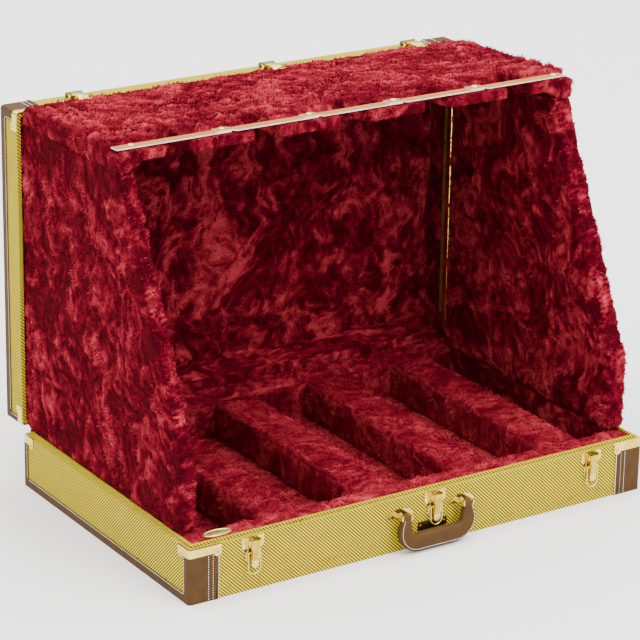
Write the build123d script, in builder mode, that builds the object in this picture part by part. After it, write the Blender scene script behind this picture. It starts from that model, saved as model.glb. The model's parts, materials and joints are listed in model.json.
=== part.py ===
from build123d import *
import os

# Hard case that opens into a five-place guitar stand: a shallow base tray, a lid tray
# that stands up behind it, and a folding padded rack inside.
# Millimetres. Origin at the centre of the base's underside, the front faces -Y, +Z is up.

# ---------------------------------------------------------------- driving dimensions
LENGTH = 800.0            # both trays, left to right
DEPTH = 492.0             # both trays, front wall to hinge wall
WALL = 6.0                # tweed-covered plywood
BOARD = 5.0               # large outer boards of both trays
BASE_WALL_H = 84.0
RIM_TOP = 88.6            # tongue that stands up inside the base walls
RIM_T = 4.0
LID_T = 48.5              # lid tray, mouth to outer board
MOUTH_GAP = 7.0           # open lid's mouth behind the base's back wall
LID_BOTTOM = 96.5
CORNER_R = 4.0
FIT = 0.3                 # clearance between neighbouring soft pieces

FRONT = -DEPTH / 2
BACK = DEPTH / 2
LEFT = -LENGTH / 2
RIGHT = LENGTH / 2
MOUTH = BACK + MOUTH_GAP
LID_BACK = MOUTH + LID_T
LID_TOP = LID_BOTTOM + DEPTH
INSIDE = WALL + RIM_T     # from a base side to the inside of its tongue

# Padded floor of the base
PAD_T = 17.0
FLOOR_TOP = BOARD + PAD_T
LINER_TOP = 82.5
LINER_SIDE_TOP = 88.3
FRONT_LINER_T = 33.0
BACK_LINER_T = 24.0
DIVIDER_W = 68.0
DIVIDER_TOP = 81.0
DIVIDER_FIRST = -217.0
DIVIDER_PITCH = 167.0
DIVIDERS = 4
SOFT_R = 9.0

# Rack: two side panels and the neck shelf
PANEL_T = 24.5
PANEL_SKIN = 5.0          # plush and foam around the panel's board
PANEL_OUT = 9.5           # case side to panel
PANEL_BOTTOM = 89.6
PANEL_TOP = 574.5
PANEL_FRONT = FRONT + 41.0
PANEL_KINK_Z = 202.0
PANEL_TOP_FRONT = FRONT + 214.0
LEFT_PANEL_BACK = MOUTH - 3.0
RIGHT_PANEL_BACK = LEFT_PANEL_BACK - PANEL_T - 2.0
PANEL_IN = LENGTH / 2 - PANEL_OUT - PANEL_T

SHELF_Z = 575.0
SHELF_T = 22.0
SHELF_SKIN = 4.0
SHELF_FRONT = FRONT + 209.0
SHELF_BACK = MOUTH - 6.0
SHELF_HALF = LENGTH / 2 - 8.0
NOTCHES = 5
NOTCH_PITCH = 148.0
NOTCH_W = 46.0
NOTCH_DEPTH = 70.0
NOTCH_R = 18.0
STRAP_W = 18.0
STRAP_T = 2.0
STRAP_START = -393.0
STRAP_END = 385.0
STUD_FIRST = -366.0
STUD_PITCH = 147.0
STUDS = 6
STUD_R = 5.0
STUD_H = 2.6
STUD_SHANK_R = 1.5
STUD_SHANK = 12.0

# Leather and brass on the outside of both trays
SKIN = 1.5                # leather and sheet-brass thickness
CAP_X = 47.0
CAP_V = 14.0
CAP_GAP = 13.0            # a corner cap stops this far short of the tray's mouth
TRIM_W = 14.0
TRIM_BACK_W = 10.0
BRACKET_X = 52.0
BRACKET_V = 29.0
SCREW_R = 2.6
SCREW_T = 1.0

# Draw latches
LATCH_XS = (-297.0, 16.0, 304.0)
PLATE_TOP = 83.5
PLATE_BOTTOM = 46.0
PLATE_TOP_W = 37.0
PLATE_LOW_W = 24.0
LEVER_AXIS_Y = FRONT - 6.5
LEVER_AXIS_Z = 76.5
LEVER_W = 15.0
LEVER_T = 8.0
LEVER_SHELL = 1.4
LEVER_LOW = 46.0
TAB_LOW = 37.0
TAB_W = 11.0
PIN_R = 1.5
PIN_FIT = 0.05
EAR_T = 1.3
BAIL_Z = 61.0
BAIL_LOWS = (27.5, 31.5, 27.5)   # the middle bail is shorter, to clear the handle
BAIL_R = 10.0
BAIL_WIRE_R = 1.0

# Handle
HANDLE_X = 9.0
HANDLE_HALF = 67.0
HANDLE_ARM = 54.5
HANDLE_AXIS_Y = FRONT - 17.0
HANDLE_AXIS_Z = 60.0
HANDLE_LOW = 6.0
GRIP_H = 24.0
HANDLE_T = 15.0
ARM_W = 17.0
LOOP_R = 4.2
BRACKET_PIN_R = 1.8

# Lid hinges on the base
HINGE_Y = MOUTH + 2.5
HINGE_Z = 87.0
HINGE_R = 3.0
HINGE_W = 60.0
HINGE_X = (-300.0, 0.0, 300.0)
HINGE_LEAF = 1.2
KNUCKLES = 5

# Piano hinges of the rack
PIANO_R = 1.9
PIANO_PIN_R = 0.9
PIANO_LEAF = 1.0
PIANO_LEAF_W = 14.0
PIANO_Z0 = 112.0
PIANO_Z1 = 552.0
PANEL_AXIS_X = PANEL_IN - 2.5
LEFT_AXIS_Y = LEFT_PANEL_BACK + 0.5
RIGHT_AXIS_Y = RIGHT_PANEL_BACK + 0.5
SHELF_AXIS_Y = MOUTH - 3.0
SHELF_AXIS_Z = 577.5
RAIL_FRONT = MOUTH + 0.4
RAIL_LOW = 558.0

BASE_FRAME = Plane.XY
# The lid's own frame: x along the case, v down from its top wall, w forward from its board.
LID_FRAME = Plane(origin=(0, LID_BACK, LID_TOP), x_dir=(-1, 0, 0), z_dir=(0, -1, 0))

os.makedirs("parts", exist_ok=True)


def save(part, label):
    part.label = label
    export_step(part, f"parts/{label}.step")


def box_between(low, high):
    """A box from its lowest corner to its highest, added to the current part."""
    size = [b - a for a, b in zip(low, high)]
    with Locations(low):
        Box(*size, align=(Align.MIN, Align.MIN, Align.MIN))


def soft_box(low, high, radius):
    """A closed padded block with rounded edges."""
    with BuildPart() as block:
        box_between(low, high)
        fillet(block.edges(), radius)
    return block.part


# ---------------------------------------------------------------- the two trays
def tray(frame, prefix, names, v_shift, wall_h, height):
    """Outer board and four walls. v runs from the far wall to the hinge wall, w is height."""
    x0, x1 = LEFT, RIGHT
    v0, v1 = v_shift, v_shift + DEPTH
    with BuildPart(frame) as board:
        box_between((x0 + WALL, v0 + WALL, 0), (x1 - WALL, v1 - WALL, BOARD))
    save(board.part, f"{prefix}_{names[0]}")
    for name, low, high in (
        (names[1], v0, v0 + WALL),
        (names[2], v1 - WALL, v1),
    ):
        with BuildPart(frame) as wall:
            box_between((x0, low, 0), (x1, high, wall_h))
            side = low if low == v0 else high
            upright = [e for e in wall.edges() if abs(e.length - wall_h) < 0.1]
            fillet([e for e in upright if abs(frame.to_local_coords(e.center()).Y - side) < 0.1], CORNER_R)
        save(wall.part, f"{prefix}_{name}")
    for name, low, high in (("left_wall", x0, x0 + WALL), ("right_wall", x1 - WALL, x1)):
        if frame is LID_FRAME:
            low, high = -high, -low
        with BuildPart(frame) as wall:
            box_between((low, v0 + WALL, 0), (high, v1 - WALL, wall_h))
        save(wall.part, f"{prefix}_{name}")
    leather(frame, prefix, v0, v1, height)
    brackets(frame, prefix, v0, v1, height)


def leather(frame, prefix, v0, v1, height):
    """Corner caps around the two far corners and bound edges along both ends."""
    top = height - CAP_GAP
    with BuildPart(frame) as caps:
        for side in (-1, 1):
            end = side * (RIGHT + SKIN)
            face = side * RIGHT
            with BuildSketch(frame) as outline:
                with BuildLine():
                    Polyline(
                        (end, v0 - SKIN),
                        (side * (RIGHT - CAP_X), v0 - SKIN),
                        (side * (RIGHT - CAP_X), v0),
                        (face, v0),
                        (face, v0 + CAP_V),
                        (end, v0 + CAP_V),
                        close=True,
                    )
                make_face()
                fillet(outline.vertices().sort_by_distance((face, v0, 0))[0], CORNER_R)
                fillet(outline.vertices().sort_by_distance((end, v0 - SKIN, 0))[0], CORNER_R + SKIN)
            extrude(outline.sketch, amount=top)
    save(caps.part, f"{prefix}_leather_caps")
    with BuildPart(frame) as trims:
        for side in (-1, 1):
            low = min(side * RIGHT, side * (RIGHT + SKIN))
            high = max(side * RIGHT, side * (RIGHT + SKIN))
            box_between((low, v0 + CAP_V, 0), (high, v1 - TRIM_BACK_W, TRIM_W))
            box_between((low, v1 - TRIM_BACK_W, 0), (high, v1, top))
    save(trims.part, f"{prefix}_side_trims")


def brackets(frame, prefix, v0, v1, height):
    """Four folded brass angles around the tray's mouth corners."""
    z1 = height - 1.0
    z0 = height - CAP_GAP
    with BuildPart(frame) as angles:
        for side in (-1, 1):
            for v_edge, away in ((v0, -1), (v1, 1)):
                with BuildSketch(frame.offset(z0)) as outline:
                    with BuildLine():
                        Polyline(
                            (side * (RIGHT + SKIN), v_edge + away * SKIN),
                            (side * (RIGHT - BRACKET_X), v_edge + away * SKIN),
                            (side * (RIGHT - BRACKET_X), v_edge),
                            (side * RIGHT, v_edge),
                            (side * RIGHT, v_edge - away * BRACKET_V),
                            (side * (RIGHT + SKIN), v_edge - away * BRACKET_V),
                            close=True,
                        )
                    make_face()
                    inner = (side * RIGHT, v_edge, 0)
                    fillet(outline.vertices().sort_by_distance(inner)[0], CORNER_R)
                    outer = (side * (RIGHT + SKIN), v_edge + away * SKIN, 0)
                    fillet(outline.vertices().sort_by_distance(outer)[0], CORNER_R + SKIN)
                extrude(outline.sketch, amount=z1 - z0)
    save(angles.part, f"{prefix}_corner_brackets")


tray(
    BASE_FRAME,
    "base",
    ("bottom_board", "front_wall", "back_wall"),
    FRONT,
    BASE_WALL_H,
    BASE_WALL_H,
)
tray(
    LID_FRAME,
    "lid",
    ("back_board", "top_wall", "bottom_wall"),
    0.0,
    LID_T,
    LID_T,
)

# Tongue: four tweed-covered strips glued inside the base walls, standing proud of them.
tongue_low = FLOOR_TOP + 20
tongue_end = DEPTH / 2 - INSIDE - FIT
with BuildPart() as tongue:
    for side in (-1, 1):
        with Locations((0, side * (DEPTH / 2 - WALL - RIM_T / 2), (tongue_low + RIM_TOP) / 2)):
            Box(LENGTH - 2 * WALL, RIM_T, RIM_TOP - tongue_low)
        with Locations((side * (LENGTH / 2 - WALL - RIM_T / 2), 0, (tongue_low + RIM_TOP) / 2)):
            Box(RIM_T, 2 * tongue_end, RIM_TOP - tongue_low)
save(tongue.part, "base_rim_tongue")

# ---------------------------------------------------------------- padding in the base
with BuildPart() as pad:
    box_between((LEFT + WALL, FRONT + WALL, BOARD), (RIGHT - WALL, BACK - WALL, FLOOR_TOP))
save(pad.part, "floor_pad")

liner_x = LENGTH / 2 - INSIDE - FIT
front_liner_back = FRONT + INSIDE + FIT + FRONT_LINER_T
back_liner_front = BACK - INSIDE - FIT - BACK_LINER_T
save(
    soft_box(
        (-liner_x, FRONT + INSIDE + FIT, FLOOR_TOP),
        (liner_x, front_liner_back, LINER_TOP),
        SOFT_R / 2,
    ),
    "front_liner",
)
save(
    soft_box(
        (-liner_x, back_liner_front, FLOOR_TOP),
        (liner_x, BACK - INSIDE - FIT, LINER_TOP),
        SOFT_R / 2,
    ),
    "back_liner",
)
with BuildPart() as side_liners:
    for edge in (-liner_x, PANEL_IN):
        box_between(
            (edge, front_liner_back + FIT, FLOOR_TOP),
            (edge + liner_x - PANEL_IN, back_liner_front - FIT, LINER_SIDE_TOP),
        )
save(side_liners.part, "side_liners")

for number in range(DIVIDERS):
    middle = DIVIDER_FIRST + number * DIVIDER_PITCH
    divider = soft_box(
        (middle - DIVIDER_W / 2, front_liner_back + FIT, FLOOR_TOP),
        (middle + DIVIDER_W / 2, back_liner_front - FIT, DIVIDER_TOP),
        SOFT_R,
    )
    save(divider, f"floor_divider_{number + 1}")

# Blank oval plate on the front liner, near the left end
BADGE_X = -337.0
BADGE_Y = front_liner_back - 15.0
with BuildPart() as badge:
    with BuildSketch(Plane.XY.offset(LINER_TOP)):
        with Locations((BADGE_X, BADGE_Y)):
            Ellipse(23.0, 12.0)
    extrude(amount=1.2)
save(badge.part, "oval_plate")

# ---------------------------------------------------------------- draw latches
with BuildPart() as latch_plates:
    for x in LATCH_XS:
        with BuildSketch(Plane.XZ.offset(-FRONT)) as outline:
            with BuildLine():
                Polyline(
                    (x - PLATE_TOP_W / 2, PLATE_TOP),
                    (x + PLATE_TOP_W / 2, PLATE_TOP),
                    (x + PLATE_TOP_W / 2, PLATE_TOP - 15),
                    (x + PLATE_LOW_W / 2, PLATE_TOP - 21),
                    (x + PLATE_LOW_W / 2, PLATE_BOTTOM),
                    (x - PLATE_LOW_W / 2, PLATE_BOTTOM),
                    (x - PLATE_LOW_W / 2, PLATE_TOP - 21),
                    (x - PLATE_TOP_W / 2, PLATE_TOP - 15),
                    close=True,
                )
            make_face()
            fillet(outline.vertices(), 2.0)
        extrude(outline.sketch, amount=SKIN)
        for side in (-1, 1):
            ear = LEVER_W / 2 + 0.4
            with BuildSketch(Plane.YZ.offset(x + side * (ear + EAR_T / 2))) as ear_outline:
                with BuildLine():
                    Polyline(
                        (FRONT - SKIN, LEVER_AXIS_Z - 6),
                        (FRONT - SKIN, LEVER_AXIS_Z + 5),
                        (LEVER_AXIS_Y - 3, LEVER_AXIS_Z + 4),
                        (LEVER_AXIS_Y - 3, LEVER_AXIS_Z - 4),
                        close=True,
                    )
                make_face()
                with Locations((LEVER_AXIS_Y, LEVER_AXIS_Z)):
                    Circle(PIN_R, mode=Mode.SUBTRACT)
            extrude(ear_outline.sketch, amount=EAR_T / 2, both=True)
save(latch_plates.part, "latch_plates")

with BuildPart() as latch_fixings:
    for x in LATCH_XS:
        pin_half = LEVER_W / 2 + 0.4 + EAR_T
        with BuildSketch(Plane.YZ.offset(x)):
            with Locations((LEVER_AXIS_Y, LEVER_AXIS_Z)):
                Circle(PIN_R)
        extrude(amount=pin_half, both=True)
        for rivet_x, rivet_z in ((-14.5, PLATE_TOP - 8), (14.5, PLATE_TOP - 8), (0, PLATE_BOTTOM + 4)):
            with BuildSketch(Plane.XZ.offset(-FRONT + SKIN)):
                with Locations((x + rivet_x, rivet_z)):
                    Circle(2.0)
            extrude(amount=0.9)
save(latch_fixings.part, "latch_pins_and_rivets")

for number, (x, low) in enumerate(zip(LATCH_XS, BAIL_LOWS)):
    with BuildPart() as lever:
        top = LEVER_AXIS_Z + LEVER_T / 2
        with BuildSketch(Plane.YZ.offset(x)) as side_view:
            with BuildLine():
                Polyline(
                    (LEVER_AXIS_Y + LEVER_T / 2, LEVER_AXIS_Z),
                    (LEVER_AXIS_Y + LEVER_T / 2, LEVER_LOW),
                    (LEVER_AXIS_Y - LEVER_T / 2, LEVER_LOW),
                    (LEVER_AXIS_Y - LEVER_T / 2, LEVER_AXIS_Z),
                )
                ThreePointArc(
                    (LEVER_AXIS_Y - LEVER_T / 2, LEVER_AXIS_Z),
                    (LEVER_AXIS_Y, top),
                    (LEVER_AXIS_Y + LEVER_T / 2, LEVER_AXIS_Z),
                )
            make_face()
        extrude(side_view.sketch, amount=LEVER_W / 2, both=True)
        # The lever is folded sheet: open towards the wall and underneath.
        hollow = LEVER_W / 2 - LEVER_SHELL
        with Locations((x, LEVER_AXIS_Y + LEVER_SHELL / 2, (LEVER_LOW + LEVER_AXIS_Z) / 2 - 4)):
            Box(
                2 * hollow,
                LEVER_T - LEVER_SHELL,
                LEVER_AXIS_Z - LEVER_LOW - 2,
                mode=Mode.SUBTRACT,
            )
        with BuildSketch(Plane.XZ.offset(-(LEVER_AXIS_Y - LEVER_T / 2 + LEVER_SHELL))) as tab:
            with Locations((x, (LEVER_LOW + TAB_LOW) / 2 + TAB_W / 4)):
                SlotOverall(LEVER_LOW - TAB_LOW + TAB_W, TAB_W, rotation=90)
        extrude(tab.sketch, amount=LEVER_SHELL)
        with BuildSketch(Plane.YZ.offset(x)) as bores:
            with Locations((LEVER_AXIS_Y, LEVER_AXIS_Z)):
                Circle(PIN_R + PIN_FIT)
            with Locations((LEVER_AXIS_Y, BAIL_Z)):
                Circle(BAIL_WIRE_R + PIN_FIT)
        extrude(bores.sketch, amount=LEVER_W, both=True, mode=Mode.SUBTRACT)
    save(lever.part, f"latch_lever_{number + 1}")

    with BuildPart() as bail:
        inner_end = LEVER_W / 2 - LEVER_SHELL
        bend = 1.6
        with BuildLine() as wire:
            arc_z = low + BAIL_R
            start = (x - inner_end, LEVER_AXIS_Y, BAIL_Z)
            Polyline(
                start,
                (x - BAIL_R + bend, LEVER_AXIS_Y, BAIL_Z),
                (x - BAIL_R, LEVER_AXIS_Y, BAIL_Z - bend),
                (x - BAIL_R, LEVER_AXIS_Y, arc_z),
            )
            ThreePointArc(
                (x - BAIL_R, LEVER_AXIS_Y, arc_z),
                (x, LEVER_AXIS_Y, low),
                (x + BAIL_R, LEVER_AXIS_Y, arc_z),
            )
            Polyline(
                (x + BAIL_R, LEVER_AXIS_Y, arc_z),
                (x + BAIL_R, LEVER_AXIS_Y, BAIL_Z - bend),
                (x + BAIL_R - bend, LEVER_AXIS_Y, BAIL_Z),
                (x + inner_end, LEVER_AXIS_Y, BAIL_Z),
            )
        with BuildSketch(Plane(origin=start, z_dir=(1, 0, 0))) as section:
            Circle(BAIL_WIRE_R)
        sweep(section.sketch, path=wire.wires()[0], transition=Transition.RIGHT)
    save(bail.part, f"latch_bail_{number + 1}")

# Small dark plate that the middle bail rests on
REST_PLATE_X = 13.0
REST_PLATE_Z = 31.5
with BuildPart() as rest_plate:
    with BuildSketch(Plane.XZ.offset(-FRONT)):
        with Locations((REST_PLATE_X, REST_PLATE_Z)):
            RectangleRounded(51.0, 13.0, 2.5)
    extrude(amount=SKIN)
save(rest_plate.part, "bail_rest_plate")

# ---------------------------------------------------------------- carrying handle
with BuildPart() as brackets_part:
    for side in (-1, 1):
        x = HANDLE_X + side * HANDLE_ARM
        with BuildSketch(Plane.XZ.offset(-FRONT)) as crescent:
            with Locations((x, HANDLE_AXIS_Z - 5)):
                Ellipse(23.0, 13.0)
                with Locations((0, -9)):
                    Rectangle(60, 18, mode=Mode.SUBTRACT)
        extrude(crescent.sketch, amount=SKIN)
        cheek_in = 7.0
        cheek_out = 9.2
        cheek_end = HANDLE_AXIS_Y - LOOP_R
        for cheek in (-1, 1):
            low = min(cheek * cheek_in, cheek * cheek_out)
            high = max(cheek * cheek_in, cheek * cheek_out)
            box_between(
                (x + low, cheek_end, HANDLE_AXIS_Z - 3.5),
                (x + high, FRONT - SKIN / 2, HANDLE_AXIS_Z + 3.5),
            )
        with BuildSketch(Plane.YZ.offset(x)) as pin_circle:
            with Locations((HANDLE_AXIS_Y, HANDLE_AXIS_Z)):
                Circle(BRACKET_PIN_R)
        extrude(pin_circle.sketch, amount=cheek_in + 1, both=True)
save(brackets_part.part, "handle_brackets")

CLIP_W = 12.0
CLIP_T = 5.0
CLIP_LOW = 45.0
ARM_TOP = 54.0
with BuildPart() as clips:
    for side in (-1, 1):
        x = HANDLE_X + side * HANDLE_ARM
        with BuildSketch(Plane.YZ.offset(x)) as loop:
            with Locations((HANDLE_AXIS_Y, HANDLE_AXIS_Z)):
                Circle(LOOP_R)
            with Locations((HANDLE_AXIS_Y, (CLIP_LOW + HANDLE_AXIS_Z) / 2)):
                Rectangle(CLIP_T, HANDLE_AXIS_Z - CLIP_LOW)
            with Locations((HANDLE_AXIS_Y, HANDLE_AXIS_Z)):
                Circle(BRACKET_PIN_R + PIN_FIT, mode=Mode.SUBTRACT)
        extrude(loop.sketch, amount=CLIP_W / 2, both=True)
save(clips.part, "handle_clips")

with BuildPart() as grip:
    arm_in = HANDLE_ARM - ARM_W / 2
    arm_out = HANDLE_ARM + ARM_W / 2
    grip_top = HANDLE_LOW + GRIP_H
    with BuildSketch(Plane.XZ.offset(-(HANDLE_AXIS_Y + HANDLE_T / 2))) as outline:
        with BuildLine():
            Polyline(
                (HANDLE_X - arm_out, ARM_TOP),
                (HANDLE_X - arm_out, ARM_TOP - 8),
                (HANDLE_X - HANDLE_HALF, ARM_TOP - 18),
                (HANDLE_X - HANDLE_HALF, HANDLE_LOW),
                (HANDLE_X + HANDLE_HALF, HANDLE_LOW),
                (HANDLE_X + HANDLE_HALF, ARM_TOP - 18),
                (HANDLE_X + arm_out, ARM_TOP - 8),
                (HANDLE_X + arm_out, ARM_TOP),
                (HANDLE_X + arm_in, ARM_TOP),
                (HANDLE_X + arm_in, grip_top),
                (HANDLE_X - arm_in, grip_top),
                (HANDLE_X - arm_in, ARM_TOP),
                close=True,
            )
        make_face()
        low_corners = outline.vertices().group_by(Axis.Y)[0]
        fillet(low_corners, 22.0)
        inner_corners = [v for v in outline.vertices() if abs(v.Y - grip_top) < 0.1]
        fillet(inner_corners, 12.0)
    extrude(outline.sketch, amount=HANDLE_T)
    fillet(grip.faces().sort_by(Axis.Y)[0].edges() + grip.faces().sort_by(Axis.Y)[-1].edges(), 3.0)
    for side in (-1, 1):
        x = HANDLE_X + side * HANDLE_ARM
        with Locations((x, HANDLE_AXIS_Y, (CLIP_LOW + ARM_TOP) / 2)):
            Box(CLIP_W, CLIP_T, ARM_TOP - CLIP_LOW, mode=Mode.SUBTRACT)
save(grip.part, "handle_grip")

# ---------------------------------------------------------------- hinges
def leaf(plane, length, count, own, radius, pin_r, plate, tab):
    """One hinge leaf: a plate, and every second knuckle with the tab that joins it.

    The plane stands at the hinge's end with its normal along the pin. plate and tab are
    rectangles (low x, low y, high x, high y) about the pin.
    """
    gap = 0.15
    step = length / count
    with BuildPart(plane) as piece:
        box_between((plate[0], plate[1], 0), (plate[2], plate[3], length))
        for knuckle in range(own, count, 2):
            start = knuckle * step + gap
            end = (knuckle + 1) * step - gap
            box_between((tab[0], tab[1], start), (tab[2], tab[3], end))
            with Locations((0, 0, start)):
                Cylinder(radius, end - start, align=(Align.CENTER, Align.CENTER, Align.MIN))
        with Locations((0, 0, -1)):
            Cylinder(
                pin_r + PIN_FIT,
                length + 2,
                align=(Align.CENTER, Align.CENTER, Align.MIN),
                mode=Mode.SUBTRACT,
            )
    return piece.part


def hinge_pin(plane, length, radius):
    with BuildPart(plane) as rod:
        Cylinder(radius, length, align=(Align.CENTER, Align.CENTER, Align.MIN))
    return rod.part


def group(label, parts):
    """Several loose solids of one kind in one node."""
    with BuildPart() as together:
        for part in parts:
            add(part)
    save(together.part, label)


def along_x(x, y, z):
    """A plane whose normal is +X and whose own x and y are the case's Y and Z."""
    return Plane(origin=(x, y, z), x_dir=(0, 1, 0), z_dir=(1, 0, 0))


hinge_planes = [along_x(x - HINGE_W / 2, HINGE_Y, HINGE_Z) for x in HINGE_X]
wall_x = BACK - HINGE_Y
base_plate = (wall_x, -35.0, wall_x + HINGE_LEAF, -1.4)
base_tab = (wall_x, -2.6, -1.6, -1.4)
lid_y = LID_BOTTOM - HINGE_Z
lid_plate = (1.6, lid_y - HINGE_LEAF, 34.0, lid_y)
lid_tab = (1.6, 0.0, 2.8, lid_y)
HINGE_PIN_R = 1.4
group(
    "lid_hinge_base_leaves",
    [leaf(p, HINGE_W, KNUCKLES, 0, HINGE_R, HINGE_PIN_R, base_plate, base_tab) for p in hinge_planes],
)
group(
    "lid_hinge_lid_leaves",
    [leaf(p, HINGE_W, KNUCKLES, 1, HINGE_R, HINGE_PIN_R, lid_plate, lid_tab) for p in hinge_planes],
)
group("lid_hinge_pins", [hinge_pin(p, HINGE_W, HINGE_PIN_R) for p in hinge_planes])

left_hinge = Plane(origin=(-PANEL_AXIS_X, LEFT_AXIS_Y, PIANO_Z0), x_dir=(1, 0, 0), z_dir=(0, 0, 1))
right_hinge = Plane(origin=(PANEL_AXIS_X, RIGHT_AXIS_Y, PIANO_Z1), x_dir=(-1, 0, 0), z_dir=(0, 0, -1))
SHELF_HINGE_HALF = 340.0
shelf_hinge = along_x(-SHELF_HINGE_HALF, SHELF_AXIS_Y, SHELF_AXIS_Z)
panel_hinge_len = PIANO_Z1 - PIANO_Z0
panel_knuckles = 11
shelf_knuckles = 17
off = PANEL_AXIS_X - PANEL_IN
clear = PIANO_R + 0.2
moving_plate = (off, -PIANO_LEAF_W, off + PIANO_LEAF, -clear)
moving_tab = (off, -clear, off + PIANO_LEAF, 0.0)
fixed_plate = (off, clear, off + PIANO_LEAF, PIANO_LEAF_W)
fixed_tab = (off, 0.0, off + PIANO_LEAF, clear)
shelf_back = SHELF_BACK - SHELF_AXIS_Y
rail_face = RAIL_FRONT - SHELF_AXIS_Y
shelf_plate = (shelf_back, clear, shelf_back + PIANO_LEAF, 16.0)
shelf_tab = (shelf_back, 0.5, -1.5, clear + 0.5)
rail_plate = (rail_face - PIANO_LEAF, -17.0, rail_face, -clear)
rail_tab = (1.5, -clear - 0.5, rail_face, -0.5)

for name, plane in (("left", left_hinge), ("right", right_hinge)):
    moving = leaf(
        plane, panel_hinge_len, panel_knuckles, 0, PIANO_R, PIANO_PIN_R, moving_plate, moving_tab
    )
    save(moving, f"{name}_panel_leaf")
shelf_leaf = leaf(
    shelf_hinge, 2 * SHELF_HINGE_HALF, shelf_knuckles, 0, PIANO_R, PIANO_PIN_R, shelf_plate, shelf_tab
)
save(shelf_leaf, "shelf_leaf")
lid_side_leaves = [
    leaf(plane, panel_hinge_len, panel_knuckles, 1, PIANO_R, PIANO_PIN_R, fixed_plate, fixed_tab)
    for plane in (left_hinge, right_hinge)
]
lid_side_leaves.append(
    leaf(shelf_hinge, 2 * SHELF_HINGE_HALF, shelf_knuckles, 1, PIANO_R, PIANO_PIN_R, rail_plate, rail_tab)
)
group("rack_hinge_lid_leaves", lid_side_leaves)
group(
    "rack_hinge_pins",
    [
        hinge_pin(left_hinge, panel_hinge_len, PIANO_PIN_R),
        hinge_pin(right_hinge, panel_hinge_len, PIANO_PIN_R),
        hinge_pin(shelf_hinge, 2 * SHELF_HINGE_HALF, PIANO_PIN_R),
    ],
)

# ---------------------------------------------------------------- inside the lid
LINING_T = 8.0
FLAP_HALF = PANEL_IN - 3.0
FLAP_FRONT = MOUTH - 4.3
FLAP_T = 1.5
FLAP_LOW = BASE_WALL_H + 2.5
FLAP_UP = 10.0
lining_front = LID_BACK - BOARD - LINING_T
with BuildPart() as lining:
    box_between(
        (LEFT + WALL, lining_front, LID_BOTTOM + WALL),
        (RIGHT - WALL, LID_BACK - BOARD, LID_TOP - WALL),
    )
    # A plush flap hangs from the lid's lower edge over the gap above the base.
    box_between((-FLAP_HALF, FLAP_FRONT, FLAP_LOW), (FLAP_HALF, FLAP_FRONT + FLAP_T, LID_BOTTOM + FLAP_UP))
    box_between((-FLAP_HALF, FLAP_FRONT, LID_BOTTOM + 1), (FLAP_HALF, MOUTH, LID_BOTTOM + WALL))
save(lining.part, "lid_lining")

batten_low = LID_BOTTOM + WALL + FIT
batten_side = RIGHT - WALL - FIT
post_front = RIGHT_PANEL_BACK + 0.9
with BuildPart() as battens:
    box_between((-batten_side, RAIL_FRONT, batten_low), (-PANEL_IN, lining_front - FIT, RAIL_LOW - FIT))
    box_between((PANEL_IN, post_front, batten_low), (batten_side, lining_front - FIT, RAIL_LOW - FIT))
    box_between((PANEL_IN, post_front, RAIL_LOW - FIT), (batten_side, MOUTH - 0.2, PANEL_TOP))
save(battens.part, "hinge_battens")
with BuildPart() as rail:
    box_between(
        (-batten_side, RAIL_FRONT, RAIL_LOW),
        (batten_side, lining_front - FIT, LID_TOP - WALL - FIT),
    )
save(rail.part, "shelf_rail")

# Catches that the bails hook over: a plate, a bulky housing and a lip out over the mouth.
CATCH_XS = (-297.0, 40.0, 304.0)
CATCH_W = 35.0
HOOK_W = 17.0
CATCH_LIP_Z = 602.5
CATCH_TOP = 606.0
with BuildPart() as catches:
    for x in CATCH_XS:
        box_between((x - CATCH_W / 2, MOUTH + 1, LID_TOP), (x + CATCH_W / 2, MOUTH + 30, LID_TOP + SKIN))
        with BuildSketch(Plane.YZ.offset(x)) as hook:
            with BuildLine():
                Polyline(
                    (MOUTH + 1, LID_TOP),
                    (MOUTH + 24, LID_TOP),
                    (MOUTH + 22, LID_TOP + 9),
                    (MOUTH + 8, CATCH_TOP),
                    (MOUTH - 14, CATCH_TOP),
                    (MOUTH - 19, CATCH_LIP_Z),
                    (MOUTH + 1, CATCH_LIP_Z),
                    close=True,
                )
            make_face()
        extrude(hook.sketch, amount=HOOK_W / 2, both=True)
save(catches.part, "lid_catches")

# ---------------------------------------------------------------- screws and rivets
def dome_heads(label, spots):
    """Tapered heads at (plane, x, y) spots, standing out along each plane's normal."""
    with BuildPart() as heads:
        for plane, x, y in spots:
            with BuildSketch(plane) as circle:
                with Locations((x, y)):
                    Circle(SCREW_R)
            extrude(circle.sketch, amount=SCREW_T, taper=20)
    save(heads.part, label)


front_skin = Plane.XZ.offset(-FRONT + SKIN)
side_x = BRACKET_X - 5.0
head_z = BASE_WALL_H - CAP_GAP / 2 - 0.5
base_spots = [(front_skin, side * (RIGHT - side_x), head_z) for side in (-1, 1)]
base_spots += [
    (front_skin, HANDLE_X + side * HANDLE_ARM + spot * 16.0, HANDLE_AXIS_Z - 2.0)
    for side in (-1, 1)
    for spot in (-1, 1)
]
base_spots += [(front_skin, REST_PLATE_X + spot * 21.0, REST_PLATE_Z) for spot in (-1, 1)]
dome_heads("base_screws", base_spots)

top_skin = Plane.XY.offset(LID_TOP + SKIN)
lid_head_y = MOUTH + CAP_GAP / 2 + 0.5
lid_spots = [(top_skin, side * (RIGHT - side_x), lid_head_y) for side in (-1, 1)]
lid_spots += [(top_skin, x + spot * 13.0, MOUTH + 10) for x in CATCH_XS for spot in (-1, 1)]
dome_heads("lid_screws", lid_spots)


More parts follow.
